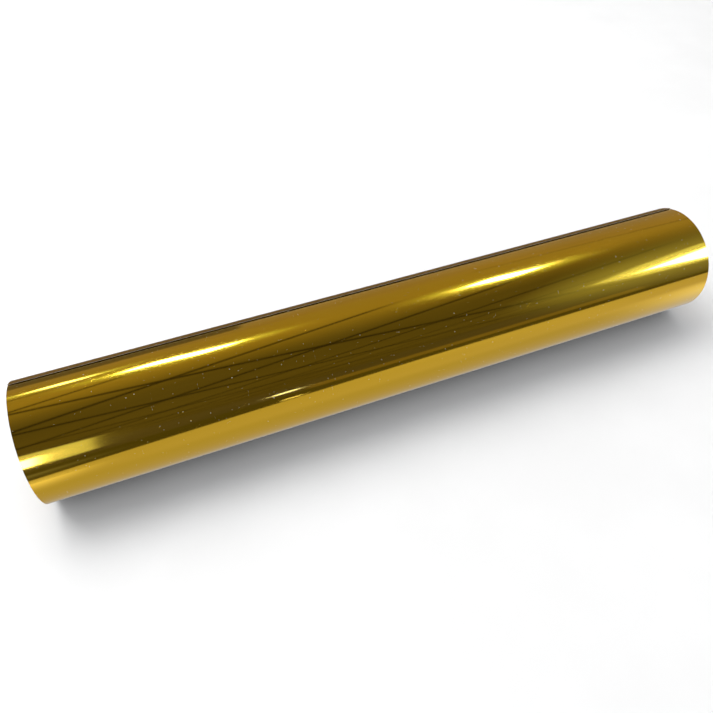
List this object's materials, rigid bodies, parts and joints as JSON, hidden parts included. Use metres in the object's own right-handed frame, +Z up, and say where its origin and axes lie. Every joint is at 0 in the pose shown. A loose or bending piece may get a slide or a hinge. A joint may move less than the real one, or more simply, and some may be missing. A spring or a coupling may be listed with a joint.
{
  "type": "roll of sign vinyl",
  "caption": "Roll of mirror-gold self-adhesive sign film on a release liner, wound face out on a paperboard core, with a loose end that lifts and a film tip that peels.",
  "frame": {"origin": "centre of the core's bore, halfway along the roll", "axes": "+X along the roll's axis, +Z up, +Y to the back of the roll where the loose end lies"},
  "size_m": [0.612, 0.0991, 0.0989],
  "materials": {
    "film": "polished",
    "liner": "satin",
    "board": "matte",
    "board_face": "matte",
    "tape": "satin"
  },
  "bodies": {
    "roll": {"core_inner_ply": "board_face", "core_ply_1": "board", "core_ply_2": "board", "core_ply_3": "board", "core_ply_4": "board", "core_ply_5": "board", "core_outer_ply": "board_face", "starter_tape": "tape", "liner_winding": "liner", "film_winding": "film", "outer_wrap_liner": "liner", "outer_wrap_film": "film"},
    "tail_1": {"tail_liner_1": "liner", "tail_film_1": "film"},
    "tail_2": {"tail_liner_2": "liner", "tail_film_2": "film"},
    "tail_3": {"tail_liner_3": "liner", "tail_film_3": "film"},
    "peel_tip": {"film_tip": "film"}
  },
  "joints": [
    {"name": "tail_lift", "type": "hinge", "parent": "roll", "child": "tail_1", "pos_m": [0, 0.04891, -0.00861], "axis": [-1, 0, 0], "range_deg": [0, 30]},
    {"name": "tail_bend_2", "type": "hinge", "parent": "tail_1", "child": "tail_2", "pos_m": [0, 0.04948, 0.00435], "axis": [-1, 0, 0], "range_deg": [0, 30]},
    {"name": "tail_bend_3", "type": "hinge", "parent": "tail_2", "child": "tail_3", "pos_m": [0, 0.04668, 0.01701], "axis": [-1, 0, 0], "range_deg": [0, 30]},
    {"name": "film_peel", "type": "hinge", "parent": "tail_3", "child": "peel_tip", "pos_m": [0, 0.03806, 0.03196], "axis": [-1, 0, 0], "range_deg": [0, 100]}
  ],
  "couplings": [
    {"joint": "tail_bend_2", "follows": "tail_lift", "ratio": 1},
    {"joint": "tail_bend_3", "follows": "tail_lift", "ratio": 1}
  ]
}
